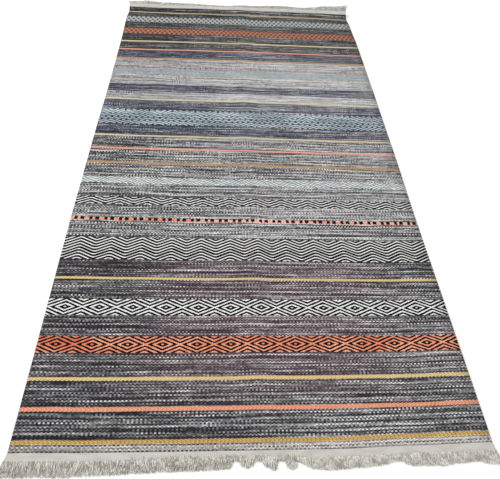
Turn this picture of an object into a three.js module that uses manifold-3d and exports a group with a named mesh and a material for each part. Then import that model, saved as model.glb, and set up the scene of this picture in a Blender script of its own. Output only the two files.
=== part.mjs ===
import * as THREE from 'three';
import Module from 'manifold-3d';

// A kilim-pattern rug lying on a floor. X runs across it, Y along it and Z up, with the floor at z = 0.
// It is three pieces: the woven field, and a fringe on a woven heading at each end of it.

// Driving sizes, in millimetres
const FIELD_WIDTH = 800;
const FIELD_LENGTH = 1520;
const CLOTH_THICKNESS = 3;
const HEADING_WIDTH = 14;
const NEAR_HEADING_OVERHANG = 4;
const FAR_HEADING_OVERHANG = 1;
const SEAM_GAP = 0.3;
const FRINGE_LENGTH = 24;
const LOCKS_PER_END = 108;

// The cloth's own unevenness, in millimetres and shares
const CENTRE_CREASE = { x: 5, halfWidth: 45, height: 2.3, fadeBeforeEnd: 90 };
const SIDE_RIDGE = { startX: -272, startY: 205, endX: -212, endY: 505, halfWidth: 48, height: 4.6 };
const END_LIFT = { startY: 738, bendLength: 10, slope: 0.48 };

// How the far end's lift varies across the rug
const LIFT_ACROSS = [
  { x: -400, share: 0.86 },
  { x: -320, share: 1.0 },
  { x: -70, share: 0.86 },
  { x: 160, share: 0.98 },
  { x: 230, share: 0.94 },
  { x: 330, share: 1.12 },
  { x: 400, share: 1.3 },
];

// How far each long edge wanders out (+) or in (-) from a straight line, and how fast that fades inwards
const WANDER_FADE_POWER = 4;
const EDGE_WANDER = [
  { y: -760, left: -1, right: 1 },
  { y: -250, left: 1, right: 0 },
  { y: 0, left: 0, right: 2 },
  { y: 290, left: -3, right: 2 },
  { y: 530, left: -3.5, right: 1 },
  { y: 690, left: -1, right: -3 },
  { y: 735, left: -4, right: -7.5 },
  { y: 760, left: -4, right: -8 },
];

// The reach of the near fringe across the rug, as a share of its full length
const NEAR_FRINGE_REACH = [
  { x: -400, share: 0.92 },
  { x: -250, share: 0.97 },
  { x: -120, share: 0.84 },
  { x: -38, share: 0.66 },
  { x: -15, share: 0.86 },
  { x: 20, share: 0.66 },
  { x: 62, share: 0.84 },
  { x: 200, share: 0.9 },
  { x: 240, share: 0.72 },
  { x: 330, share: 0.9 },
  { x: 400, share: 0.96 },
];

// A lock's width, height, place and sway along its length, as shares
const NEAR_LOCK_STEPS = [
  { along: 0, width: 1, height: 1, sway: 0, lift: 0 },
  { along: 0.35, width: 0.95, height: 0.85, sway: 0.45, lift: 0 },
  { along: 0.7, width: 0.8, height: 0.7, sway: -0.2, lift: 0 },
  { along: 1, width: 0.45, height: 0.5, sway: 0.55, lift: 0 },
];
const FAR_LOCK_STEPS = [
  { along: 0, width: 1, height: 1, sway: 0, lift: 1 },
  { along: 0.3, width: 0.95, height: 0.9, sway: 0.3, lift: 1.12 },
  { along: 0.6, width: 0.85, height: 0.8, sway: 0.5, lift: 0.55 },
  { along: 0.84, width: 0.7, height: 0.7, sway: 0.1, lift: 0 },
  { along: 1, width: 0.45, height: 0.5, sway: -0.2, lift: 0 },
];
const LOCK = { width: 5.2, height: 2.4, rootDepth: 3, sway: 5, swaySpread: 1, reachSpread: 0.08 };
const FAR_FRINGE_REACH = 0.96;

// The locks lean together in waves of uneven length along the rug's end
const LOCK_WAVE = { length: 31, unevenness: 1.3, unevenLength: 87 };

// Where the sheets' grid lines run, closer where the cloth bends
const FIELD_LINES_ACROSS = [
  { from: -400, to: -330, spacing: 35 },
  { from: -330, to: -150, spacing: 18 },
  { from: -150, to: -45, spacing: 35 },
  { from: -45, to: 55, spacing: 12.5 },
  { from: 55, to: 400, spacing: 58 },
];
const FIELD_LINES_ALONG = [
  { from: -760, to: 205, spacing: 70 },
  { from: 205, to: 505, spacing: 30 },
  { from: 505, to: 738, spacing: 60 },
  { from: 738, to: 760, spacing: 4 },
];
const HEADING_LINES = { wide: 60, close: 15, creaseFrom: -40, creaseTo: 50 };

const HALF_WIDTH = FIELD_WIDTH / 2;
const HALF_LENGTH = FIELD_LENGTH / 2;

const FIELD_COLOUR = 0x6b6a6c;
const HEADING_COLOUR = 0xc9c6bd;

const wasm = await Module();
wasm.setup();

// A smooth hump that is 1 at the middle and exactly 0 from the half width out
function hump(distance, halfWidth) {
  const share = Math.min(Math.abs(distance) / halfWidth, 1);
  return 0.5 * (1 + Math.cos(Math.PI * share));
}

// A value read from a table between its rows, eased so that it has no corners
function readTable(rows, key, value, at) {
  if (at <= rows[0][key]) return rows[0][value];
  for (let i = 1; i < rows.length; i += 1) {
    const before = rows[i - 1];
    const after = rows[i];
    if (at <= after[key]) {
      const share = (at - before[key]) / (after[key] - before[key]);
      const eased = share * share * (3 - 2 * share);
      return before[value] + (after[value] - before[value]) * eased;
    }
  }
  return rows[rows.length - 1][value];
}

// The ridge left along the middle by folding the rug lengthwise
function centreCrease(x, y) {
  const fromNearEnd = y + HALF_LENGTH;
  const fade = Math.min(Math.max(fromNearEnd / CENTRE_CREASE.fadeBeforeEnd, 0), 1);
  return CENTRE_CREASE.height * fade * hump(x - CENTRE_CREASE.x, CENTRE_CREASE.halfWidth);
}

// A shorter, slanting ridge in the far left quarter
function sideRidge(x, y) {
  const length = SIDE_RIDGE.endY - SIDE_RIDGE.startY;
  const along = (y - SIDE_RIDGE.startY) / length;
  if (along <= 0 || along >= 1) return 0;
  const ridgeX = SIDE_RIDGE.startX + (SIDE_RIDGE.endX - SIDE_RIDGE.startX) * along;
  return SIDE_RIDGE.height * hump(along - 0.5, 0.5) * hump(x - ridgeX, SIDE_RIDGE.halfWidth);
}

// The far end curls up off the floor, more at its right corner
function endLift(x, y) {
  const past = y - END_LIFT.startY;
  if (past <= 0) return 0;
  const bent = Math.min(past, END_LIFT.bendLength);
  const rise = (bent * bent) / (2 * END_LIFT.bendLength) + (past - bent);
  return END_LIFT.slope * rise * readTable(LIFT_ACROSS, 'x', 'share', x);
}

function undersideHeight(x, y) {
  return centreCrease(x, y) + sideRidge(x, y) + endLift(x, y);
}

// Grid lines through stretches that follow on from each other, at each stretch's spacing or a little less
function gridLines(stretches) {
  const lines = [stretches[0].from];
  for (const { from, to, spacing } of stretches) {
    const steps = Math.ceil((to - from) / spacing);
    for (let i = 1; i <= steps; i += 1) {
      lines.push(from + ((to - from) * i) / steps);
    }
  }
  return lines;
}

// A closed sheet on a grid of lines, with its underside at the cloth's height
function clothSheet(linesAcross, linesAlong, edgeShift) {
  const columns = linesAcross.length;
  const rows = linesAlong.length;
  const layer = columns * rows;
  const points = [];
  for (const z of [0, CLOTH_THICKNESS]) {
    for (const y of linesAlong) {
      for (const x of linesAcross) {
        const shiftedX = x + edgeShift(x, y);
        points.push(shiftedX, y, undersideHeight(shiftedX, y) + z);
      }
    }
  }
  const faces = [];
  const quad = (a, b, c, d) => faces.push(a, b, c, a, c, d);
  for (let row = 0; row < rows - 1; row += 1) {
    for (let column = 0; column < columns - 1; column += 1) {
      const a = row * columns + column;
      const b = a + 1;
      const c = b + columns;
      const d = a + columns;
      quad(a, d, c, b);
      quad(a + layer, b + layer, c + layer, d + layer);
    }
  }
  for (let column = 0; column < columns - 1; column += 1) {
    const near = column;
    const far = (rows - 1) * columns + column;
    quad(near, near + 1, near + 1 + layer, near + layer);
    quad(far + 1, far, far + layer, far + 1 + layer);
  }
  for (let row = 0; row < rows - 1; row += 1) {
    const left = row * columns;
    const right = left + columns - 1;
    quad(left + columns, left, left + layer, left + columns + layer);
    quad(right, right + columns, right + columns + layer, right + layer);
  }
  return { points, faces };
}

function toGeometry({ points, faces }) {
  const geometry = new THREE.BufferGeometry();
  geometry.setAttribute('position', new THREE.Float32BufferAttribute(points, 3));
  geometry.setIndex(faces);
  geometry.computeVertexNormals();
  return geometry;
}

function toSolid({ points, faces }) {
  const mesh = new wasm.Mesh({
    numProp: 3,
    vertProperties: new Float32Array(points),
    triVerts: new Uint32Array(faces),
  });
  return new wasm.Manifold(mesh);
}

function toCloth(name, geometry, colour) {
  const material = new THREE.MeshStandardMaterial({ color: colour, roughness: 0.95, metalness: 0 });
  const mesh = new THREE.Mesh(geometry, material);
  mesh.name = name;
  return mesh;
}

// The long edges wander by a few millimetres, and the shift fades towards the middle
function fieldEdgeShift(x, y) {
  const side = x < 0 ? 'left' : 'right';
  const out = readTable(EDGE_WANDER, 'y', side, y);
  const towardsEdge = Math.abs(x) / HALF_WIDTH;
  return Math.sign(x) * out * towardsEdge ** WANDER_FADE_POWER;
}

function wovenField() {
  const sheet = clothSheet(gridLines(FIELD_LINES_ACROSS), gridLines(FIELD_LINES_ALONG), fieldEdgeShift);
  return toCloth('field', toGeometry(sheet), FIELD_COLOUR);
}

// A repeatable spread of numbers from -0.5 to 0.5, by the usual multiply-and-divide rule
function makeSpread(seed) {
  const multiplier = 16807;
  const modulus = 2147483647;
  let state = seed;
  return () => {
    state = (state * multiplier) % modulus;
    return state / modulus - 0.5;
  };
}

function lockSway(x) {
  const uneven = LOCK_WAVE.unevenness * Math.sin(x / LOCK_WAVE.unevenLength);
  return LOCK.sway * Math.sin(x / LOCK_WAVE.length + uneven);
}

// One three-sided lock with a flat underside, from inside the heading out to its tip
function lock({ rootX, rootY, outward, rootHeight, length, sway, steps }) {
  const points = [];
  const ring = (x, y, z, width, height) => {
    points.push(x - (width / 2) * outward, y, z);
    points.push(x + (width / 2) * outward, y, z);
    points.push(x, y, z + height);
  };
  ring(rootX, rootY - LOCK.rootDepth * outward, rootHeight, LOCK.width, LOCK.height);
  for (const step of steps) {
    const x = rootX + sway * step.sway;
    const y = rootY + outward * length * step.along;
    ring(x, y, rootHeight * step.lift, LOCK.width * step.width, LOCK.height * step.height);
  }
  const faces = [0, 1, 2];
  const last = points.length / 3 - 3;
  for (let start = 0; start < last; start += 3) {
    for (let side = 0; side < 3; side += 1) {
      const a = start + side;
      const b = start + ((side + 1) % 3);
      faces.push(a, a + 3, b + 3, a, b + 3, b);
    }
  }
  faces.push(last, last + 2, last + 1);
  return toSolid({ points, faces });
}

// The heading is a narrow woven strip, and each lock's root is joined into its outer edge
function fringeOnHeading({ name, outward, overhang, seed, steps, reachShare }) {
  const halfHeading = HALF_WIDTH + overhang;
  const inner = outward * (HALF_LENGTH + SEAM_GAP);
  const outer = inner + outward * HEADING_WIDTH;
  const { wide, close, creaseFrom, creaseTo } = HEADING_LINES;
  const along = gridLines([
    { from: Math.min(inner, outer), to: Math.max(inner, outer), spacing: HEADING_WIDTH / 2 },
  ]);
  const across = gridLines([
    { from: -halfHeading, to: creaseFrom, spacing: wide },
    { from: creaseFrom, to: creaseTo, spacing: close },
    { from: creaseTo, to: halfHeading, spacing: wide },
  ]);
  const heading = toSolid(clothSheet(across, along, () => 0));
  const spread = makeSpread(seed);
  const pitch = (2 * halfHeading - LOCK.width) / (LOCKS_PER_END - 1);
  const solids = [heading];
  for (let i = 0; i < LOCKS_PER_END; i += 1) {
    const rootX = -halfHeading + LOCK.width / 2 + pitch * i;
    const sway = lockSway(rootX) + LOCK.swaySpread * spread();
    const length = FRINGE_LENGTH * Math.min(1, reachShare(rootX) + LOCK.reachSpread * spread());
    const rootHeight = undersideHeight(rootX, outer);
    solids.push(lock({ rootX, rootY: outer, outward, rootHeight, length, sway, steps }));
  }
  const joined = wasm.Manifold.union(solids).getMesh();
  const geometry = toGeometry({ points: [...joined.vertProperties], faces: [...joined.triVerts] });
  return toCloth(name, geometry, HEADING_COLOUR);
}

const rug = new THREE.Group();
rug.name = 'kilim_rug';
rug.add(wovenField());
rug.add(
  fringeOnHeading({
    name: 'near_fringe',
    outward: -1,
    overhang: NEAR_HEADING_OVERHANG,
    seed: 11,
    steps: NEAR_LOCK_STEPS,
    reachShare: (x) => readTable(NEAR_FRINGE_REACH, 'x', 'share', x),
  }),
);
rug.add(
  fringeOnHeading({
    name: 'far_fringe',
    outward: 1,
    overhang: FAR_HEADING_OVERHANG,
    seed: 29,
    steps: FAR_LOCK_STEPS,
    reachShare: () => FAR_FRINGE_REACH,
  }),
);

export default rug;
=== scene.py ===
"""A kilim-pattern rug lying on a pale floor: a flat-woven field with a fringed heading at each end."""

import math

import bpy
import numpy as np
from mathutils import Matrix, Vector


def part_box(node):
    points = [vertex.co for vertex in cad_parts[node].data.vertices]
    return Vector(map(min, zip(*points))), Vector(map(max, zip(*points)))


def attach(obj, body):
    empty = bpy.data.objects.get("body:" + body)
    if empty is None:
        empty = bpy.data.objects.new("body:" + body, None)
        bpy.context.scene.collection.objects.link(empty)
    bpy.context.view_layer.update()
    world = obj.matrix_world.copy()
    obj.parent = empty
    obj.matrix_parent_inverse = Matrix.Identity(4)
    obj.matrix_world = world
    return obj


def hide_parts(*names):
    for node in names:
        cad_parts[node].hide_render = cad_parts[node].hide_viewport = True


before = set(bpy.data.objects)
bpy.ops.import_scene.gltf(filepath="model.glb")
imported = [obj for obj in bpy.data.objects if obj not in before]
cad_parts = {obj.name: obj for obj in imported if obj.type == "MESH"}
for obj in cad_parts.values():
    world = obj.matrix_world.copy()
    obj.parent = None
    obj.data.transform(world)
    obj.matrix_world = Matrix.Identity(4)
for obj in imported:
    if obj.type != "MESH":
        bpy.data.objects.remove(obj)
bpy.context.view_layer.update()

# Driving sizes. Cloth sizes are in millimetres, and MM turns them into metres
MM = 0.001
MM_PER_METRE = 1000
HALF_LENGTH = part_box("field")[1].y / MM
FIELD_LENGTH = 2 * HALF_LENGTH
HALF_WIDTH = 400.0
CLOTH_THICKNESS = 3.0
HEADING_WIDTH = 14.0
HEADING_OVERHANG = 1.0
SEAM_GAP = 0.05
FRINGE_LENGTH = 24.0

# The weave: the motifs' repeat and its parts, warp ends, ribs of two ends, picks, and rows of three picks
REPEAT = 64.0
HALF_REPEAT = REPEAT / 2
QUARTER_REPEAT = REPEAT / 4
EIGHTH_REPEAT = REPEAT / 8
END = REPEAT / 36
RIB = 2 * END
PICK = END / 2
ROW = 3 * PICK
FIRST_CENTRE = -367.0
ROW_DEPTH = 0.35

# Half the sizes of the motifs' small parts, and where the chevrons' tips are cut flat
CHEVRON_TIP = 2.2
WIDE_BLOCK = 5.3
NARROW_BLOCK = 3.4
LATTICE_LINE = 2.4
DASH_LENGTH = 3.2
DASH_HEIGHT = 2.3

# The height of a row of stitches, and how fast a stripe's twill slants
STITCH_HEIGHT = 1.2
TWILL_SLOPE = 1.3

# The cloth's relief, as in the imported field
CENTRE_CREASE = {"x": 5.0, "half_width": 45.0, "height": 2.3, "fade": 90.0}
SIDE_RIDGE = {
    "start_x": -272.0, "start_y": 205.0, "end_x": -212.0, "end_y": 505.0, "half_width": 48.0, "height": 4.6
}
END_LIFT = {"start_y": 738.0, "bend": 10.0, "slope": 0.48}
LIFT_PLACES = (-400, -320, -70, 160, 230, 330, 400)
LIFT_SHARES = (0.86, 1.0, 0.86, 0.98, 0.94, 1.12, 1.3)

# How far each long edge wanders out (+) or in (-), at places along it. It differs a little from the packed
# field's at the near end
EDGE_PLACES = (-774, -760, -250, 0, 290, 530, 690, 735, 760)
LEFT_WANDER = (1.5, -1, 1, 0, -3, -3.5, -1, -4, -4)
RIGHT_WANDER = (3, 2, 0, 2, 2, 1, -3, -7.5, -8)
WANDER_FADE_POWER = 4

# How far the wefts bow along the rug, at places across it and along it
BOW_ACROSS = (-390, -270, -130, 130, 270, 390)
BOW_ALONG = {
    0: (0, -1.5, -2, -2.2, 1.5, 4.2),
    120: (0, -1.5, -1.5, -0.8, 0, 3.3),
    340: (2, 1, 0, -0.8, -1.8, 0),
    500: (3.5, 1.5, -0.5, -1.4, -2.6, -1.5),
    690: (4, 1, 0, -1, -2.5, -4.5),
    960: (3, 0.5, 0.5, -0.5, -3.5, -4.5),
    1190: (-3, -3, 0, 0, 0.5, 1),
    1295: (-4.5, -3, 0.3, 1, 0, 1.5),
    1520: (-1, -2.5, 1.2, 1.2, 1, -2),
}

# How far the ends have slid sideways in the cloth, at places across it
SLIDE_PLACES = (-400, -365, -300, -235, -170, -42, 18, 80, 336, 400)
SLIDES = (0, 1.5, 3.5, 4.7, 5.4, 5.2, 2.4, 0.4, 1, 0)

# Where the field's grid columns stand, closer where the cloth bends
COLUMN_STRETCHES = ((-400, -330, 3), (-330, -150, 12), (-150, -45, 4), (-45, 55, 10), (55, 400, 11))

# Points of the underside carry this added to their place across in the map "cloth", in metres
UNDERSIDE_SHIFT = 1.0

# The bake's map leaves two strips of this height between the faces, and the walls take up this share of one
BAKE_STRIP = 0.012
BAKE_STRIP_USED = 0.8

# The headings' tape: half the depth of a rib, how far its faces lie in from the cloth's, and its grid rows
TAPE_RIB = 0.16
TAPE_SINK = 0.15
TAPE_ROWS = 8

# The fringe's yarns
YARN_RADIUS = 0.46
YARN_CRINKLE = 1.1
YARN_STEPS = 11
YARN_SIDES = 3
YARN_TAPER = 0.45

# How far a root may stand from its even place, how near the heading's sides the roots come, and how far in
# from its outer edge a root counts as lying over it
ROOT_SPREAD = 0.3
ROOT_MARGIN = 0.4
OVER_HEADING = 1.2

# How strongly the cloth reflects, how light the painted shade leaves its dips, and the power that darkens
# the melange
CLOTH_SPECULAR = 0.15
DIP_SHADE_LEVEL = 0.66
LIGHT_YARN_POWER = 2.2

# The camera that took the photograph, in metres and degrees
CAMERA_PLACE = Vector((-0.0664, -0.9915, 0.8262))
CAMERA_YAW = 5.81
CAMERA_PITCH = 50.43
CAMERA_ROLL = -5.09
CAMERA_LENS = 34.41
CAMERA_SENSOR = 36


def linear(*channels):
    """The linear colour of an 8-bit screen colour, with full alpha."""
    shares = [channel / 255 for channel in channels]
    bent = [share / 12.92 if share <= 0.04045 else ((share + 0.055) / 1.055) ** 2.4 for share in shares]
    return (*bent, 1.0)


# Yarn colours
CHARCOAL = linear(34, 33, 38)
PLUM = linear(62, 44, 56)
INK_BLUE = linear(37, 43, 65)
DARK_SLATE = linear(60, 68, 76)
SKY_BLUE = linear(210, 224, 228)
SKY_SHADE = linear(174, 190, 196)
STONE_BLUE = linear(178, 182, 179)
STONE_SHADE = linear(80, 85, 84)
SLATE = linear(78, 90, 96)
ASH = linear(226, 225, 225)
BLUSH = linear(224, 210, 207)
OATMEAL = linear(222, 216, 209)
MIST_BLUE = linear(158, 176, 186)
PALE_BLUE = linear(184, 194, 197)
BLACK = linear(10, 8, 11)
WHITE = linear(247, 248, 245)
CREAM = linear(206, 205, 198)
ORANGE = linear(255, 182, 148)
ORANGE_SHADE = linear(222, 108, 72)
CORAL = linear(236, 170, 138)
CORAL_SHADE = linear(206, 96, 60)
ROSE_CORAL = linear(220, 152, 130)
YELLOW = linear(228, 202, 138)
BUTTER = linear(221, 205, 162)
PALE_YELLOW = linear(200, 184, 142)
OCHRE = linear(214, 176, 100)
OCHRE_SHADE = linear(122, 84, 46)
TAN = linear(190, 161, 118)
RUST = linear(108, 65, 48)
RUST_LIGHT = linear(176, 121, 98)
RUST_DARK = linear(92, 48, 38)
ROSE = linear(200, 134, 124)
TAPE_COTTON = linear(202, 200, 193)
TAPE_SHADE = linear(188, 186, 179)
# The colour of the painted shade in the tape's dips
TAPE_DIP_SHADE = linear(150, 148, 141)
YARN_COTTON = linear(240, 237, 229)
YARN_SHADE = linear(180, 176, 166)
# The far fringe is the same cotton in darker colours: painted shade
SHADED_FAR_YARN_COTTON = linear(218, 216, 208)
SHADED_FAR_YARN_DARK = linear(142, 139, 131)
FLOOR_DARK = (0.93, 0.93, 0.93, 1)
FLOOR_LIGHT = (0.95, 0.95, 0.95, 1)


# Shader and geometry node kit


class Flow:
    """A socket whose arithmetic adds Math nodes."""

    def __init__(self, bench, socket):
        self.bench = bench
        self.socket = socket

    def also(self, name):
        """Another output of the same node."""
        return Flow(self.bench, self.socket.node.outputs[name])

    def __add__(self, other):
        return self.bench.maths("ADD", self, other)

    def __radd__(self, other):
        return self.bench.maths("ADD", other, self)

    def __sub__(self, other):
        return self.bench.maths("SUBTRACT", self, other)

    def __rsub__(self, other):
        return self.bench.maths("SUBTRACT", other, self)

    def __mul__(self, other):
        return self.bench.maths("MULTIPLY", self, other)

    def __rmul__(self, other):
        return self.bench.maths("MULTIPLY", other, self)

    def __truediv__(self, other):
        return self.bench.maths("DIVIDE", self, other)

    def __pow__(self, other):
        return self.bench.maths("POWER", self, other)

    def __gt__(self, other):
        return self.bench.maths("GREATER_THAN", self, other)

    def __lt__(self, other):
        return self.bench.maths("LESS_THAN", self, other)


class Bench:
    """Adds nodes to a shader or geometry tree."""

    def __init__(self, tree):
        self.tree = tree

    def add(self, kind, settings=None, inputs=None, output=0):
        """One node: its settings are set first, then the values or links of its sockets."""
        node = self.tree.nodes.new(kind)
        for name, value in (settings or {}).items():
            setattr(node, name, value)
        for name, value in (inputs or {}).items():
            self.fill(node.inputs[name], value)
        return Flow(self, node.outputs[output]) if node.outputs else node

    def fill(self, socket, value):
        """Links a socket to a value that other nodes make, or sets its own."""
        if isinstance(value, Flow):
            self.tree.links.new(value.socket, socket)
        else:
            socket.default_value = value

    def maths(self, operation, *values):
        return self.add("ShaderNodeMath", {"operation": operation}, dict(enumerate(values)))

    def floor(self, value):
        return self.maths("FLOOR", value)

    def fraction(self, value):
        return self.maths("FRACT", value)

    def size(self, value):
        return self.maths("ABSOLUTE", value)

    def fold(self, value, length):
        return self.maths("PINGPONG", value, length)

    def wave(self, value):
        return self.maths("SINE", value)

    def lesser(self, value, other):
        return self.maths("MINIMUM", value, other)

    def greater(self, value, other):
        return self.maths("MAXIMUM", value, other)

    def between(self, value, low, high):
        """1 where low < value < high, and 0 elsewhere."""
        return (value > low) * (value < high)

    def ease(self, value, low, high):
        """A smooth step from 0 at low to 1 at high."""
        settings = {"interpolation_type": "SMOOTHSTEP"}
        return self.add("ShaderNodeMapRange", settings, {"Value": value, "From Min": low, "From Max": high})

    def point(self, x=0.0, y=0.0, z=0.0):
        return self.add("ShaderNodeCombineXYZ", None, {"X": x, "Y": y, "Z": z})

    def noise(self, point, scale=1.0, detail=1.0):
        return self.add("ShaderNodeTexNoise", None, {"Vector": point, "Scale": scale, "Detail": detail})

    def scatter(self, point):
        """A number from 0 to 1 drawn anew at each whole point."""
        return self.add("ShaderNodeTexWhiteNoise", None, {"Vector": point})

    def mix(self, share, first, second, blend="MIX"):
        """A mix of two colours."""
        node = self.add("ShaderNodeMix", {"data_type": "RGBA", "blend_type": blend}, {0: share}, output=2)
        sockets = node.socket.node.inputs
        self.fill(sockets[6], first)
        self.fill(sockets[7], second)
        return node


def new_material(name):
    """A new material, the bench for its nodes and its shader node."""
    material = bpy.data.materials.new(name)
    material.use_nodes = True
    shader = material.node_tree.nodes["Principled BSDF"]
    return material, Bench(material.node_tree), shader


def cloth_place(bench):
    """A point's place on the flat cloth, in metres: across it, with the place along it as another output."""
    cloth = bench.add("ShaderNodeUVMap", {"uv_map": "cloth"})
    return bench.add("ShaderNodeSeparateXYZ", None, {"Vector": cloth})


def finish_cloth(bench, shader, colour, relief, bump_strength, bump_depth, roughness):
    """Gives a cloth's shader its colour, its bumps and its matt face."""
    sizes = {"Strength": bump_strength, "Distance": bump_depth, "Height": relief}
    bench.fill(shader.inputs["Base Color"], colour)
    bench.fill(shader.inputs["Normal"], bench.add("ShaderNodeBump", None, sizes))
    bench.fill(shader.inputs["Roughness"], roughness)
    bench.fill(shader.inputs["Specular IOR Level"], CLOTH_SPECULAR)


# The lie of the cloth


def hump(distance, half_width):
    """1 at the middle, and 0 from the half width out."""
    share = np.minimum(np.abs(distance) / half_width, 1)
    return 0.5 * (1 + np.cos(np.pi * share))


def eased_row(at, places):
    """The row of a table that each place falls in, and how far through it, eased so that no corners show."""
    places = np.asarray(places, float)
    at = np.clip(at, places[0], places[-1])
    row = np.clip(np.searchsorted(places, at, side="right") - 1, 0, len(places) - 2)
    share = (at - places[row]) / (places[row + 1] - places[row])
    return row, share * share * (3 - 2 * share)


def eased_table(at, places, values):
    """Values read between a table's rows."""
    values = np.asarray(values, float)
    row, eased = eased_row(at, places)
    return values[row] + (values[row + 1] - values[row]) * eased


def underside_height(x, y):
    """How far the cloth's underside is off the floor at a place on the floor."""
    fade = np.clip((y + HALF_LENGTH) / CENTRE_CREASE["fade"], 0, 1)
    crease = CENTRE_CREASE["height"] * fade * hump(x - CENTRE_CREASE["x"], CENTRE_CREASE["half_width"])
    ridge = SIDE_RIDGE
    along = (y - ridge["start_y"]) / (ridge["end_y"] - ridge["start_y"])
    ridge_x = ridge["start_x"] + (ridge["end_x"] - ridge["start_x"]) * along
    side = ridge["height"] * hump(along - 0.5, 0.5) * hump(x - ridge_x, ridge["half_width"])
    past = np.maximum(y - END_LIFT["start_y"], 0)
    bent = np.minimum(past, END_LIFT["bend"])
    rise = bent * bent / (2 * END_LIFT["bend"]) + (past - bent)
    lift = END_LIFT["slope"] * rise * eased_table(x, LIFT_PLACES, LIFT_SHARES)
    return crease + side + lift


def edge_wander(across, y):
    """How far the cloth reaches out past a straight edge, fading towards the middle."""
    left = eased_table(y, EDGE_PLACES, LEFT_WANDER)
    right = eased_table(y, EDGE_PLACES, RIGHT_WANDER)
    fade = (np.abs(across) / HALF_WIDTH) ** WANDER_FADE_POWER
    return np.where(across < 0, -left, right) * fade


def weft_bow(across, along):
    """How far the wefts bow towards the far end at a point of the flat cloth."""
    rows = np.array([eased_table(across, BOW_ACROSS, row) for row in BOW_ALONG.values()])
    row, eased = eased_row(along, list(BOW_ALONG))
    column = np.arange(rows.shape[1])
    return rows[row, column] * (1 - eased) + rows[row + 1, column] * eased


def lie_of_cloth(across, along):
    """Where points of the flat cloth lie, with the height of the cloth's underside there."""
    across = np.asarray(across, float)
    along = np.asarray(along, float)
    y = along - HALF_LENGTH
    x = across + edge_wander(across, y) + eased_table(across, SLIDE_PLACES, SLIDES)
    y = y + weft_bow(across, along)
    return x, y, underside_height(x, y)


# Mesh code


def column_places(stretches):
    places = [float(stretches[0][0])]
    for low, high, count in stretches:
        places.extend(low + (high - low) * (step + 1) / count for step in range(count))
    return np.array(places)


def sheet_faces(columns, rows):
    """A closed sheet's faces: its upper face, its underside and its four walls, in that order."""
    count = columns * rows
    start = (np.arange(rows - 1)[:, None] * columns + np.arange(columns - 1)).ravel()
    top = np.column_stack([start, start + 1, start + 1 + columns, start + columns])
    bottom = top[:, ::-1] + count
    near = np.arange(columns - 1)
    far = near + (rows - 1) * columns
    left = np.arange(rows - 1) * columns
    right = left + columns - 1
    walls = np.vstack([
        np.column_stack([near + count, near + count + 1, near + 1, near]),
        np.column_stack([far, far + 1, far + 1 + count, far + count]),
        np.column_stack([left, left + columns, left + columns + count, left + count]),
        np.column_stack([right + count, right + columns + count, right + columns, right]),
    ])
    return np.vstack([top, bottom, walls])


def add_sheet_maps(mesh, faces, across, along, top_share):
    """Adds the map "cloth" of flat places, and the bake's map.

    The bake's map gives top_share of its height to the upper face, and most of the rest to the underside.
    """
    columns = len(across)
    rows = len(along)
    count = columns * rows
    on_top = (columns - 1) * (rows - 1)
    grid_across, grid_along = np.meshgrid(across, along)
    corners = faces.ravel()
    flat_across = np.concatenate([grid_across.ravel()] * 2)[corners]
    flat_along = np.concatenate([grid_along.ravel()] * 2)[corners]
    number = np.arange(len(faces))
    is_top = np.repeat(number < on_top, 4)
    is_bottom = np.repeat((number >= on_top) & (number < 2 * on_top), 4)
    add_map(mesh, "cloth", flat_across * MM + is_bottom * UNDERSIDE_SHIFT, flat_along * MM)
    share_across = (flat_across - across[0]) / (across[-1] - across[0])
    share_along = (flat_along - along[0]) / (along[-1] - along[0])
    under_share = 1 - top_share - 2 * BAKE_STRIP
    wall_v = top_share + BAKE_STRIP / 2 + BAKE_STRIP * BAKE_STRIP_USED * (corners < count)
    bake_v = np.where(is_top, share_across * top_share, wall_v)
    bake_v = np.where(is_bottom, top_share + 2 * BAKE_STRIP + share_across * under_share, bake_v)
    add_map(mesh, "OFBake", share_along, bake_v)


def sheet_mesh(name, across, along, relief, top_share):
    """A closed sheet on a grid of the flat cloth, pressed in by the relief on both faces."""
    grid_across, grid_along = np.meshgrid(across, along)
    x, y, z = lie_of_cloth(grid_across.ravel(), grid_along.ravel())
    upper = np.column_stack([x, y, z + CLOTH_THICKNESS - relief.ravel()])
    lower = np.column_stack([x, y, z + relief.ravel()])
    points = np.vstack([upper, lower]) * MM
    faces = sheet_faces(len(across), len(along))
    mesh = bpy.data.meshes.new(name)
    mesh.from_pydata(points.tolist(), [], faces.tolist())
    add_sheet_maps(mesh, faces, across, along, top_share)
    mesh.polygons.foreach_set("use_smooth", np.repeat(True, len(faces)))
    mesh.update()
    return mesh


def add_map(mesh, name, u, v):
    layer = mesh.uv_layers.new(name=name)
    layer.uv.foreach_set("vector", np.column_stack([u, v]).astype(np.float32).ravel())


def place_piece(mesh, name, material, nodes):
    piece = bpy.data.objects.new(name, mesh)
    bpy.context.scene.collection.objects.link(piece)
    mesh.materials.clear()
    mesh.materials.append(material)
    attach(piece, "root")
    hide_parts(*nodes)
    return piece


# Materials


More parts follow.
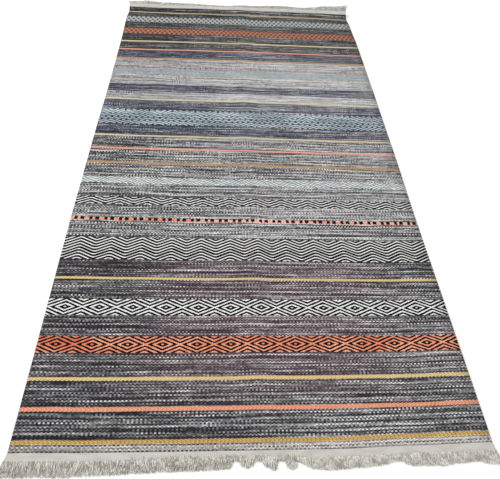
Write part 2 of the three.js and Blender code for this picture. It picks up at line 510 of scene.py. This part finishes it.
GROUNDS = [
    {"start": 0, "level": 0.77, "lines": 0.6, "dots": 0.28, "dark": CHARCOAL, "light": OATMEAL},
    {"start": 19, "level": 0.4, "lines": 1.05, "dots": 0.36, "dark": CHARCOAL, "light": ASH},
    {"start": 206, "level": 0.385, "lines": 1.2, "dots": 0.38, "dark": CHARCOAL, "light": ASH},
    {"start": 341, "level": 0.35, "lines": 1.3, "dots": 0.34, "dark": CHARCOAL, "light": ASH},
    {"start": 448, "level": 0.57, "lines": 1.25, "dots": 0.5, "dark": CHARCOAL, "light": ASH},
    {"start": 638, "level": 0.5, "lines": 1.35, "dots": 0.56, "dark": CHARCOAL, "light": ASH},
    {"start": 802, "level": 0.315, "lines": 1.3, "dots": 0.46, "dark": INK_BLUE, "light": ASH},
    {"start": 967, "level": 0.735, "lines": 0.85, "dots": 0.55, "dark": CHARCOAL, "light": ASH},
    {"start": 1005, "level": 0.28, "lines": 1.0, "dots": 0.6, "dark": INK_BLUE, "light": ASH},
    {"start": 1043, "level": 0.7, "lines": 0.9, "dots": 0.6, "dark": CHARCOAL, "light": ASH},
    {"start": 1095, "level": 0.88, "lines": 0.4, "dots": 0.7, "dark": DARK_SLATE, "light": PALE_BLUE},
    {"start": 1134, "level": 0.7, "lines": 1.0, "dots": 0.6, "dark": CHARCOAL, "light": ASH},
    {"start": 1189, "level": 0.18, "lines": 1.0, "dots": 0.65, "dark": INK_BLUE, "light": ASH},
    {"start": 1243, "level": 0.18, "lines": 1.0, "dots": 0.65, "dark": CHARCOAL, "light": ASH},
    {"start": 1300, "level": 0.15, "lines": 1.0, "dots": 0.6, "dark": CHARCOAL, "light": ASH},
    {"start": 1386, "level": 0.165, "lines": 0.9, "dots": 0.55, "dark": CHARCOAL, "light": ASH},
]

STRIPES = [
    {"middle": 15.5, "width": 6.6, "yarn": OCHRE, "shade": OCHRE_SHADE},
    {"middle": 69, "width": 7.0, "yarn": CORAL, "shade": CORAL_SHADE},
    {"middle": 123, "width": 6.0, "yarn": YELLOW, "shade": TAN},
    {"middle": 338, "width": 5.4, "yarn": YELLOW, "shade": TAN},
    {"middle": 690, "width": 8, "yarn": TAN, "shade": OCHRE_SHADE},
    {"middle": 746.5, "width": 6.5, "yarn": ROSE_CORAL, "shade": CORAL},
    {"middle": 799.5, "width": 5.4, "yarn": BUTTER, "shade": PALE_YELLOW},
    {"middle": 963.5, "width": 5.4, "yarn": BUTTER, "shade": PALE_YELLOW},
    {"middle": 1189.5, "width": 7.0, "yarn": TAN, "shade": OCHRE_SHADE},
    {"middle": 1243, "width": 6.5, "yarn": ROSE_CORAL, "shade": CORAL},
    {"middle": 1295.5, "width": 5.8, "yarn": BUTTER, "shade": PALE_YELLOW},
    {"middle": 1496, "width": 5.4, "yarn": PALE_YELLOW, "shade": TAN},
]


def streaks(bench, across, thread, length, step, seed, detail=1.0):
    """Noise drawn out across the cloth, about length long, and drawn anew for each thread."""
    return bench.noise(bench.point(across / length, thread * step, seed), detail=detail)


class Threads:
    """Where a point of the field lies among its ends, picks, ribs and wefts, with lengths in millimetres."""

    def __init__(self, bench):
        place = cloth_place(bench)
        self.under = place > UNDERSIDE_SHIFT / 2
        self.across = (place - self.under * UNDERSIDE_SHIFT) * MM_PER_METRE
        self.along = place.also("Y") * MM_PER_METRE
        self.end = (bench.floor(self.across / END) + 0.5) * END
        self.pick = (bench.floor(self.along / PICK) + 0.5) * PICK

        # Each weft floats over every second rib. A float is a row high, and the floats beside it stand half
        # a row off
        rib_share = (self.across + HALF_WIDTH) / RIB
        self.rib = bench.floor(rib_share)
        self.aside = bench.maths("MODULO", self.rib + self.under, 2.0)
        row_share = self.along / ROW + self.aside / 2
        self.weft = bench.floor(row_share) * 2 - self.aside
        self.weft_place = (self.weft + 1) * (ROW / 2)
        rib_dome = bench.wave(bench.fraction(rib_share) * math.pi)
        row_dome = bench.wave(bench.fraction(row_share) * math.pi)
        self.relief = (rib_dome * row_dome) ** 0.5

        self.tint = streaks(bench, self.across, self.weft, length=30, step=2.9, seed=7)
        self.slow_tint = bench.noise(bench.point(self.across / 130, self.along / 60, 19))


def ladder(bench, along, rows, key):
    """The colour that a table gives for each stretch of the cloth, from its near end up."""
    value = rows[0][key]
    for row in rows[1:]:
        value = bench.mix(along > row["start"], value, row[key])
    return value


def violet_zone(bench, across, along):
    """Where plum yarn takes the place of charcoal: the middle of the near third."""
    beside = 1 - bench.ease(bench.size(across - 30), 120, 300)
    return (beside * 0.85 + 0.15) * bench.ease(along, 40, 150) * (1 - bench.ease(along, 370, 440))


def melange_lines(bench, threads, row):
    """How much lighter or darker each stretch of a weft is: streaks of several lengths, and a slow beat."""
    across = threads.across
    weft = threads.weft
    long_run = streaks(bench, across, row, length=300, step=5.17, seed=3) - 0.5
    thread_run = streaks(bench, across, weft, length=110, step=3.31, seed=23, detail=2.0) - 0.5
    short_run = streaks(bench, across, weft, length=36, step=3.77, seed=11) - 0.5
    speck = streaks(bench, across, row, length=11, step=4.13, seed=83) - 0.5
    thin_run = streaks(bench, across, weft, length=190, step=2.71, seed=71)
    beat_slip = bench.noise(bench.point(across / 220, row / 9, 29))
    beat = bench.wave((row / 4 + beat_slip * 1.5) * (2 * math.pi))
    lines = long_run * (0.4 + bench.size(long_run) * 4) + thread_run * 1.05 + short_run * 0.5 + speck * 0.5
    return lines + beat * 0.16 - (1 - bench.ease(thin_run, 0.28, 0.4)) * 0.35


def melange_dots(bench, threads, row):
    """The salt and pepper of single floats, light and dark in turn, stronger in some runs than in others."""
    dot = bench.maths("MODULO", threads.weft + row, 2.0) - 0.5
    dot_run = streaks(bench, threads.across, row, length=80, step=7.31, seed=57)
    fleck = bench.scatter(bench.point(threads.rib, threads.weft)) - 0.5
    return dot * bench.ease(dot_run, 0.3, 0.65) * 1.4 + fleck * 0.7


def melange(bench, threads):
    """The yarns of the plain stretches: a mix of dark and light, in streaks and dots."""
    violet = violet_zone(bench, threads.across, threads.along)
    dark = bench.mix(violet, ladder(bench, threads.along, GROUNDS, "dark"), PLUM)
    light = bench.mix(violet * 0.6, ladder(bench, threads.along, GROUNDS, "light"), BLUSH)
    levels = [{"start": g["start"], "level": (g["level"], g["lines"], g["dots"], 1)} for g in GROUNDS]
    mixed_levels = ladder(bench, threads.along, levels, "level")
    level = bench.add("ShaderNodeSeparateColor", None, {"Color": mixed_levels})
    row = bench.floor(threads.weft / 2)
    lines = melange_lines(bench, threads, row)
    dots = melange_dots(bench, threads, row)
    # Painted light and shade: the tone darkens towards the left side, where less light falls, and lightens a
    # little towards the right
    painted_side_shading = bench.ease(threads.across, -420, 160) * 0.15 - 0.105
    tone = level + painted_side_shading + lines * level.also("Green") + dots * level.also("Blue")
    tone = bench.lesser(bench.greater(tone, 0.0), 1.0)
    return bench.mix(tone ** LIGHT_YARN_POWER, dark, light)


def sideways_of(bench, threads):
    """How far a place is from the middle of the nearest diamond or chevron."""
    return bench.fold(threads.end - FIRST_CENTRE, HALF_REPEAT)


def diamonds(bench, threads, middle, ring_height, light_share):
    """1 on the light rings of the nested diamonds, which are a quarter of the repeat wide."""
    slope = QUARTER_REPEAT / ring_height
    climb = bench.size(threads.pick - middle) * slope
    distance = bench.fold(sideways_of(bench, threads) + climb, HALF_REPEAT)
    phase = bench.fraction(distance / QUARTER_REPEAT + 0.5)
    return bench.size(phase - 0.5) < light_share / 2


def chevrons(bench, threads, first_dark, pitch, slope, dark_share):
    """1 on the light lines of the chevrons."""
    sideways = bench.greater(sideways_of(bench, threads), CHEVRON_TIP)
    sideways = bench.lesser(sideways, HALF_REPEAT - CHEVRON_TIP)
    phase = bench.fraction((threads.pick + sideways * slope - first_dark) / pitch + 0.5)
    return bench.size(phase - 0.5) > dark_share / 2


def lattice(bench, threads, middle, half_height):
    """1 on the crossing lines that outline a row of small lozenges."""
    sideways = bench.fold(threads.end - FIRST_CENTRE, EIGHTH_REPEAT)
    climb = bench.size(threads.pick - middle) * (EIGHTH_REPEAT / half_height)
    return bench.size(sideways - bench.fold(climb, EIGHTH_REPEAT)) < LATTICE_LINE


def blocks(bench, threads):
    """1 on the blocks of the check stripe, wide and narrow in turn."""
    wide = bench.fold(threads.end - FIRST_CENTRE, QUARTER_REPEAT) < WIDE_BLOCK
    narrow = bench.fold(threads.end - FIRST_CENTRE + QUARTER_REPEAT, QUARTER_REPEAT) < NARROW_BLOCK
    return bench.greater(wide, narrow)


def dashes(bench, threads, middle, start):
    """1 on a row of short dashes, one for each quarter of the repeat."""
    near = bench.fold(threads.end - FIRST_CENTRE + start, EIGHTH_REPEAT) < DASH_LENGTH
    return near * (bench.size(threads.pick - middle) < DASH_HEIGHT)


# The patterned bands, from the near end up. Each figure is a name in band_yarns
BANDS = [
    {
        "low": 173, "high": 206.5, "figure": "orange", "ground": BLACK, "pattern": diamonds,
        "sizes": {"middle": 190.2, "ring_height": 7.2, "light_share": 0.43},
    },
    {
        "low": 251.5, "high": 288, "figure": "white", "ground": BLACK, "pattern": diamonds,
        "sizes": {"middle": 269.6, "ring_height": 7.5, "light_share": 0.38},
    },
    {
        "low": 387, "high": 446.5, "figure": "white", "ground": BLACK, "pattern": chevrons,
        "sizes": {"first_dark": 394.4, "pitch": 7.93, "slope": 0.5, "dark_share": 0.68},
    },
    {
        "low": 547, "high": 571, "figure": "white", "ground": BLACK, "pattern": chevrons,
        "sizes": {"first_dark": 554.3, "pitch": 7.93, "slope": 0.44, "dark_share": 0.69},
    },
    {
        "low": 617, "high": 638, "figure": "pale", "ground": SLATE, "pattern": chevrons,
        "sizes": {"first_dark": 624.9, "pitch": 5.9, "slope": 0.5, "dark_share": 0.46},
    },
    {
        "low": 847, "high": 916, "figure": "sky", "ground": DARK_SLATE, "pattern": chevrons,
        "sizes": {"first_dark": 868, "pitch": 7.93, "slope": 0.5, "dark_share": 0.52},
    },
    {
        "low": 1346, "high": 1385, "figure": "rust", "ground": RUST, "pattern": lattice,
        "sizes": {"middle": 1365, "half_height": 13},
    },
    {
        "low": 1424, "high": 1464, "figure": "stone", "ground": STONE_SHADE, "pattern": lattice,
        "sizes": {"middle": 1446, "half_height": 13},
    },
]

# Rows of black dashes: five across the light-blue band, and one along an edge of each band of lozenges
BLACK_DASHES = [
    {"middle": 849.5, "start": 0},
    {"middle": 866, "start": 8},
    {"middle": 879, "start": 0},
    {"middle": 895, "start": 8},
    {"middle": 913, "start": 0},
    {"middle": 1383, "start": 8},
    {"middle": 1425.5, "start": 8},
]
WORN_DASHES = {"middle": 1365, "start": 8}


def band_yarns(bench, threads):
    """The yarns of the bands' figures, most of them two colours in patches."""
    tint = threads.tint
    slow_tint = threads.slow_tint
    patches = bench.ease(slow_tint * 0.6 + tint * 0.4, 0.42, 0.6)
    deeper = patches * 0.55 + 0.3 - bench.ease(threads.across, -280, -60) * 0.25
    return {
        "orange": bench.mix(deeper, ORANGE, ORANGE_SHADE),
        "white": bench.mix(bench.ease(tint, 0.45, 0.7) * 0.35, WHITE, CREAM),
        "pale": bench.mix(bench.ease(tint, 0.4, 0.65) * 0.6, WHITE, MIST_BLUE),
        "sky": bench.mix(bench.ease(slow_tint, 0.4, 0.6), SKY_BLUE, SKY_SHADE),
        "rust": RUST_LIGHT,
        "stone": STONE_BLUE,
    }


def lay_stripe(bench, threads, colour, stripe):
    """Lays a plain stripe over the colour, with its shade in a fine twill."""
    slant = threads.across + bench.size(threads.along - stripe["middle"]) * TWILL_SLOPE
    twill = bench.size(bench.fraction(slant / RIB / 2) - 0.5) * 2
    shade = bench.ease(threads.tint, 0.46, 0.7) * 0.3 + bench.ease(twill, 0.3, 0.8) * 0.5
    low = stripe["middle"] - stripe["width"] / 2
    high = stripe["middle"] + stripe["width"] / 2
    inside = bench.between(threads.pick - threads.aside * PICK, low, high)
    return bench.mix(inside, colour, bench.mix(shade, stripe["yarn"], stripe["shade"]))


def lay_band(bench, threads, colour, band, yarns):
    """Lays a patterned band over the colour. Figure and ground change places on the underside."""
    mask = band["pattern"](bench, threads, **band["sizes"])
    turned = bench.size(mask - threads.under)
    inside = bench.between(threads.pick, band["low"], band["high"])
    return bench.mix(inside, colour, bench.mix(turned, band["ground"], yarns[band["figure"]]))


def lay_check_stripe(bench, threads, colour, orange):
    """Lays orange blocks, with black ones between them two picks further on."""
    block = blocks(bench, threads)
    colour = bench.mix(block * bench.between(threads.pick, 496, 504.3), colour, orange)
    return bench.mix((1 - block) * bench.between(threads.pick, 498, 506), colour, BLACK)


def lay_dashes(bench, threads, colour):
    """Lays the black dashes, and the worn brown ones along the middle of the first band of lozenges."""
    for row in BLACK_DASHES:
        colour = bench.mix(dashes(bench, threads, **row), colour, BLACK)
    wear = bench.noise(bench.point(threads.across / 14, threads.pick / 7, 61), detail=2.0)
    worn = dashes(bench, threads, **WORN_DASHES) * bench.ease(wear, 0.35, 0.65)
    return bench.mix(worn, colour, RUST_DARK)


def lay_fine_dashes(bench, threads, colour):
    """Lays a fine row of dashes on each side of the pale blue stretch."""
    dash = bench.fold(threads.end - FIRST_CENTRE, EIGHTH_REPEAT)
    near_row = bench.between(threads.pick, 1086, 1092)
    far_row = bench.between(threads.pick, 1133, 1140.5)
    colour = bench.mix(near_row * (dash < 4) * 0.5, colour, YELLOW)
    colour = bench.mix(far_row * (dash < 5.2) * 0.7, colour, ROSE)
    return bench.mix(far_row * (dash > 6.2) * 0.75, colour, PLUM)


def lay_stitches(bench, threads, colour):
    """Lays rows of dark stitches over the pale near end, each stronger on one side."""
    stitched = bench.noise(bench.point(threads.across / 12, threads.weft, 43)) > 0.47
    on_right = bench.ease(threads.across, -60, 60)
    for low, share in ((0.8, 0.8 - on_right * 0.6), (4.8, on_right * 0.8), (10.1, 0.75 - on_right * 0.6)):
        inside = bench.between(threads.weft_place, low, low + STITCH_HEIGHT)
        colour = bench.mix(inside * stitched * share, colour, CHARCOAL)
    return colour


def paint_dip_shade(bench, colour, relief):
    """Darkens the dips between the floats: painted shade."""
    dip = DIP_SHADE_LEVEL + (1 - DIP_SHADE_LEVEL) * relief
    dip_shade = bench.add("ShaderNodeCombineColor", None, {0: dip, 1: dip, 2: dip})
    return bench.mix(1.0, colour, dip_shade, blend="MULTIPLY")


def woven_field_material():
    """The field's weave, with its melange, stripes, bands, dashes and stitches laid one over another, and
    painted shade in the dips between the floats.
    """
    material, bench, shader = new_material("kilim_weave")
    threads = Threads(bench)
    yarns = band_yarns(bench, threads)
    colour = melange(bench, threads)
    for stripe in STRIPES:
        colour = lay_stripe(bench, threads, colour, stripe)
    for band in BANDS:
        colour = lay_band(bench, threads, colour, band, yarns)
    colour = lay_check_stripe(bench, threads, colour, yarns["orange"])
    colour = lay_dashes(bench, threads, colour)
    colour = lay_fine_dashes(bench, threads, colour)
    colour = lay_stitches(bench, threads, colour)
    # Painted shade in the dips between the floats
    colour = paint_dip_shade(bench, colour, threads.relief)
    finish_cloth(bench, shader, colour, threads.relief, bump_strength=0.6, bump_depth=0.0004, roughness=0.92)
    return material


def tape_material():
    """The headings' plain cotton tape, with its fine grid of ends and picks, and painted shade in the dips
    between them.
    """
    material, bench, shader = new_material("heading_cotton")
    place = cloth_place(bench)
    across = place * MM_PER_METRE
    along = place.also("Y") * MM_PER_METRE
    rib_dome = bench.size(bench.wave(across / RIB * math.pi))
    row_dome = bench.size(bench.wave(along / ROW * math.pi))
    relief = (rib_dome * row_dome) ** 0.5
    patches = bench.noise(bench.point(across / 30, along / 9), detail=3.0)
    tone = bench.mix(bench.ease(patches, 0.35, 0.7), TAPE_COTTON, TAPE_SHADE)
    # Painted shade: the dips between the tape's ribs and picks are darkened towards a grey
    tone = bench.mix((1 - relief) * 0.45, tone, TAPE_DIP_SHADE)
    finish_cloth(bench, shader, tone, relief, bump_strength=0.5, bump_depth=0.0003, roughness=0.9)
    return material


def yarn_material(name, light, dark):
    """Undyed cotton yarn, with darker and lighter strands and lengths."""
    material, bench, shader = new_material(name)
    place = bench.add("ShaderNodeTexCoord", output=3)
    parts = bench.add("ShaderNodeSeparateXYZ", None, {"Vector": place})
    strands = bench.noise(bench.point(parts * 620, parts.also("Y") * 200, parts.also("Z") * 400))
    patches = bench.noise(place, scale=70, detail=2.0)
    fibres = bench.noise(place, scale=1500)
    tone = bench.mix(bench.ease(strands * 0.65 + patches * 0.35, 0.4, 0.6), light, dark)
    tone = bench.mix(bench.ease(fibres, 0.4, 0.75) * 0.25, tone, dark)
    finish_cloth(bench, shader, tone, fibres, bump_strength=0.4, bump_depth=0.0002, roughness=0.9)
    return material


def floor_material():
    material, bench, shader = new_material("pale_floor")
    place = bench.add("ShaderNodeTexCoord", output=3)
    cloud = bench.noise(place, scale=1.5, detail=2.0)
    bench.fill(shader.inputs["Base Color"], bench.mix(bench.ease(cloud, 0.3, 0.7), FLOOR_DARK, FLOOR_LIGHT))
    bench.fill(shader.inputs["Roughness"], 0.8)
    bench.fill(shader.inputs["Specular IOR Level"], 0.1)
    return material


# Pieces


def weave_field(material):
    along = np.arange(0, FIELD_LENGTH + ROW / 4, ROW / 2)
    along = along * FIELD_LENGTH / along[-1]
    across = column_places(COLUMN_STRETCHES)
    valley = (np.arange(len(along)) % 2 == 0) * ROW_DEPTH
    relief = np.repeat(valley[:, None], len(across), axis=1)
    mesh = sheet_mesh("woven_field", across, along, relief, top_share=0.78)
    return place_piece(mesh, "woven_field", material, ["field"])


def weave_heading(end, outward, material):
    """The woven tape at one end, with a rib for each pair of warp ends."""
    half = HALF_WIDTH + HEADING_OVERHANG
    count = round(2 * half / RIB)
    across = np.linspace(-half, half, 4 * count + 1)
    steps = np.linspace(SEAM_GAP, HEADING_WIDTH, TAPE_ROWS)
    along = -steps[::-1] if outward < 0 else FIELD_LENGTH + steps
    wave = TAPE_RIB * (1 + np.cos(np.arange(len(across)) * math.pi / 2))
    relief = np.repeat(wave[None, :], len(along), axis=0) + TAPE_SINK
    mesh = sheet_mesh(f"{end}_heading", across, along, relief, top_share=0.6)
    return place_piece(mesh, f"{end}_heading", material, [f"{end}_fringe"])


def fringe_tree():
    """Grows a crinkled yarn out of each root point."""
    tree = bpy.data.node_groups.new("grow_fringe", "GeometryNodeTree")
    sockets = [
        ("Roots", "NodeSocketGeometry"), ("Outward", "NodeSocketFloat"), ("Yarn Radius", "NodeSocketFloat"),
        ("Crinkle", "NodeSocketFloat"), ("Steps", "NodeSocketInt"), ("Sides", "NodeSocketInt"),
        ("Yarn", "NodeSocketMaterial"),
    ]
    for name, kind in sockets:
        tree.interface.new_socket(name=name, in_out="INPUT", socket_type=kind)
    tree.interface.new_socket(name="Fringe", in_out="OUTPUT", socket_type="NodeSocketGeometry")
    bench = Bench(tree)
    given = bench.add("NodeGroupInput", output="Roots")

    def named(name):
        settings = {"data_type": "FLOAT"}
        return bench.add("GeometryNodeInputNamedAttribute", settings, {"Name": name}, "Attribute")

    line = bench.add("GeometryNodeCurvePrimitiveLine", None, {"Start": (0, 0, 0), "End": (0, MM, 0)})
    line = bench.add("GeometryNodeResampleCurve", None, {"Curve": line, "Count": given.also("Steps")})
    yarns = bench.add("GeometryNodeInstanceOnPoints", None, {"Points": given, "Instance": line})
    yarns = bench.add("GeometryNodeRealizeInstances", None, {"Geometry": yarns})
    share = bench.add("GeometryNodeSplineParameter", output="Factor")
    reach = named("reach")
    lean = named("lean")
    phase = named("phase")
    turns = named("turns")
    drop = named("drop")
    arch = named("arch")
    amount = given.also("Crinkle") * share
    sideways = lean * share ** 1.4 + amount * bench.wave(phase + share * turns)
    outwards = reach * share + amount * 0.6 * bench.wave(phase * 2.3 + share * turns * 1.3)
    hump_height = arch * bench.wave(share * math.pi)
    height = hump_height - drop * share ** 1.5 + amount * 0.5 * bench.wave(phase * 3.1 + share * turns * 0.9)
    offset = bench.point(sideways * MM, (outwards * given.also("Outward") - share) * MM, height * MM)
    yarns = bench.add("GeometryNodeSetPosition", None, {"Geometry": yarns, "Offset": offset})
    floor_gap = given.also("Yarn Radius") * MM
    place = bench.add("GeometryNodeInputPosition")
    parts = bench.add("ShaderNodeSeparateXYZ", None, {"Vector": place})
    lifted = bench.point(parts, parts.also("Y"), bench.greater(parts.also("Z"), floor_gap))
    yarns = bench.add("GeometryNodeSetPosition", None, {"Geometry": yarns, "Position": lifted})
    profile = bench.add(
        "GeometryNodeCurvePrimitiveCircle", None,
        {"Resolution": given.also("Sides"), "Radius": given.also("Yarn Radius") * MM},
    )
    taper = 1.0 - YARN_TAPER * share ** 3.0
    yarns = bench.add("GeometryNodeSetCurveRadius", None, {"Curve": yarns, "Radius": taper})
    tubes = bench.add(
        "GeometryNodeCurveToMesh", None, {"Curve": yarns, "Profile Curve": profile, "Fill Caps": True}
    )
    tubes = bench.add("GeometryNodeRealizeInstances", None, {"Geometry": tubes})
    tubes = bench.add("GeometryNodeSetMaterial", None, {"Geometry": tubes, "Material": given.also("Yarn")})
    output = tree.nodes.new("NodeGroupOutput")
    tree.links.new(tubes.socket, output.inputs[0])
    return tree


def grown(points, attributes, tree, inputs, name):
    """The plain mesh that a tree grows on points that carry the given attributes."""
    mesh = bpy.data.meshes.new(f"{name}_roots")
    mesh.from_pydata(points.tolist(), [], [])
    for key, values in attributes.items():
        mesh.attributes.new(key, "FLOAT", "POINT").data.foreach_set("value", values.astype(np.float32))
    roots = bpy.data.objects.new(f"{name}_roots", mesh)
    bpy.context.scene.collection.objects.link(roots)
    modifier = roots.modifiers.new("grow", "NODES")
    modifier.node_group = tree
    sockets = {item.name: item.identifier for item in tree.interface.items_tree if item.in_out == "INPUT"}
    for key, value in inputs.items():
        modifier[sockets[key]] = value
    evaluated = roots.evaluated_get(bpy.context.evaluated_depsgraph_get())
    result = bpy.data.meshes.new_from_object(evaluated)
    result.name = name
    roots.modifiers.remove(modifier)
    bpy.data.objects.remove(roots)
    return result


def grow_fringe(end, outward, shape, seed, tree, material):
    """One end's fringe of single yarns, rooted at the outer edge of its heading."""
    half = HALF_WIDTH + HEADING_OVERHANG
    count = shape["count"]
    draw = np.random.default_rng(seed)
    across = np.linspace(-half, half, count) + draw.uniform(-ROOT_SPREAD, ROOT_SPREAD, count)
    across = np.clip(across, -half + ROOT_MARGIN, half - ROOT_MARGIN)
    edge = HEADING_WIDTH - draw.uniform(0.4, 2.2, count) - shape["overlap"](across, draw)
    along = -edge if outward < 0 else FIELD_LENGTH + edge
    x, y, z = lie_of_cloth(across, along)
    over = edge < HEADING_WIDTH - OVER_HEADING
    tier = np.where(over, 1.1, draw.uniform(0.35, 1.0, count))
    points = np.column_stack([x, y, z + CLOTH_THICKNESS * tier]) * MM
    clump = 5 * np.sin(x / 15 + 1.3 * np.sin(x / 41)) + 3 * np.sin(x / 6.3)
    reach = FRINGE_LENGTH * eased_table(x, *shape["reach"]) + HEADING_WIDTH - edge
    attributes = {
        "reach": reach * draw.uniform(0.86, 1.0, count) - 0.8,
        "lean": clump + eased_table(x, *shape["lean"]) + draw.normal(0, 1.8, count),
        "phase": draw.uniform(0, 6.28, count),
        "turns": draw.uniform(3, 9, count),
        "drop": CLOTH_THICKNESS * tier * draw.uniform(0.4, 1.0, count) - eased_table(x, *shape["rise"]),
        "arch": draw.uniform(0.0, 1.6, count),
    }
    inputs = {
        "Outward": float(outward), "Yarn Radius": YARN_RADIUS, "Crinkle": YARN_CRINKLE, "Steps": YARN_STEPS,
        "Sides": YARN_SIDES, "Yarn": material,
    }
    mesh = grown(points, attributes, tree, inputs, f"{end}_fringe_yarns")
    return place_piece(mesh, f"{end}_fringe_yarns", material, [f"{end}_fringe"])


def matted_over(across, draw):
    """How far back over the heading the yarns start: some of them, in the middle of the near end."""
    share = hump(across + 60, 190) * 0.6
    return np.where(draw.uniform(0, 1, len(across)) < share, draw.uniform(1, 7, len(across)), 0)


def at_edge(across, draw):
    """No yarn starts over the heading. It takes the same arguments as matted_over, and draws nothing."""
    return np.zeros(len(across))


# How much of the fringe's length the near yarns reach, at places across: there are a few worn notches
NEAR_REACH_PLACES = (
    -400, -316, -223, -154, -85, -47, -42, -33, -28, -9, -2, 3, 8, 22, 30, 34, 43, 47, 55, 59, 65, 80, 100,
    150, 197, 214, 228, 243, 260, 290, 331, 360, 385, 400,
)
NEAR_REACH_SHARES = (
    1.0, 0.98, 0.86, 0.74, 0.7, 0.6, 0.08, 0.08, 0.4, 0.6, 0.12, 0.15, 0.58, 0.76, 0.7, 0.12, 0.15, 0.7, 0.7,
    0.2, 0.25, 0.72, 0.82, 0.7, 0.66, 0.4, 0.42, 0.76, 0.8, 0.85, 0.74, 0.7, 0.9, 1.0,
)

# How far the yarns reach, as shares of the fringe's length, how far they lean and how far their tips
# rise above their roots, in millimetres, at places across
NEAR_SHAPE = {
    "count": 2300,
    "overlap": matted_over,
    "reach": (NEAR_REACH_PLACES, NEAR_REACH_SHARES),
    "lean": ((-400, -360, 30, 60, 330, 400), (-6, 0, 1, 10, 10, 3)),
    "rise": ((-400, 400), (0, 0)),
}
FAR_SHAPE = {
    "count": 1900,
    "overlap": at_edge,
    "reach": ((-400, 400), (0.96, 0.96)),
    "lean": ((-400, 400), (-2, 4)),
    "rise": ((-400, -330, -300, -220, -72, 160, 227, 325, 400), (0, 3, 0, -1, -7, 1, -2, 6, 12)),
}


# The room


def place_camera():
    data = bpy.data.cameras.new("camera")
    data.lens = CAMERA_LENS
    data.sensor_width = CAMERA_SENSOR
    data.sensor_fit = "HORIZONTAL"
    data.clip_start = 0.05
    camera = bpy.data.objects.new("camera", data)
    bpy.context.scene.collection.objects.link(camera)
    turn = (
        Matrix.Rotation(math.radians(-CAMERA_YAW), 4, "Z")
        @ Matrix.Rotation(math.radians(90 - CAMERA_PITCH), 4, "X")
        @ Matrix.Rotation(math.radians(-CAMERA_ROLL), 4, "Z")
    )
    camera.matrix_world = Matrix.Translation(CAMERA_PLACE) @ turn
    bpy.context.scene.camera = camera


def lay_floor():
    mesh = bpy.data.meshes.new("floor")
    reach = 12
    corners = [(-reach, -reach, 0), (reach, -reach, 0), (reach, reach, 0), (-reach, reach, 0)]
    mesh.from_pydata(corners, [], [(0, 1, 2, 3)])
    mesh.materials.append(floor_material())
    floor = bpy.data.objects.new("floor", mesh)
    bpy.context.scene.collection.objects.link(floor)


def soft_light(name, place, aim, size, power):
    data = bpy.data.lights.new(name, "AREA")
    data.shape = "SQUARE"
    data.size = size
    data.energy = power
    light = bpy.data.objects.new(name, data)
    bpy.context.scene.collection.objects.link(light)
    light.location = place
    light.rotation_euler = (Vector(aim) - Vector(place)).to_track_quat("-Z", "Y").to_euler()


def light_room():
    world = bpy.data.worlds.new("room")
    bpy.context.scene.world = world
    world.use_nodes = True
    background = world.node_tree.nodes["Background"]
    background.inputs["Color"].default_value = (1, 1, 1, 1)
    background.inputs["Strength"].default_value = 0.95
    soft_light("window_side", place=(-2.2, 1.6, 2.6), aim=(0, 0, 0), size=2.0, power=70)
    bpy.context.scene.view_settings.view_transform = "Standard"


place_camera()
lay_floor()
light_room()
weave = woven_field_material()
tape = tape_material()
yarn = yarn_material("fringe_cotton", YARN_COTTON, YARN_SHADE)
# The far fringe's yarn is a darker copy of the near one: painted shade
shaded_far_yarn = yarn_material("far_fringe_cotton_shaded", SHADED_FAR_YARN_COTTON, SHADED_FAR_YARN_DARK)
field = weave_field(weave)
headings = [
    weave_heading("near", -1, tape),
    weave_heading("far", 1, tape),
]
growth = fringe_tree()
fringes = [
    grow_fringe("near", -1, NEAR_SHAPE, 11, growth, yarn),
    grow_fringe("far", 1, FAR_SHAPE, 29, growth, shaded_far_yarn),
]
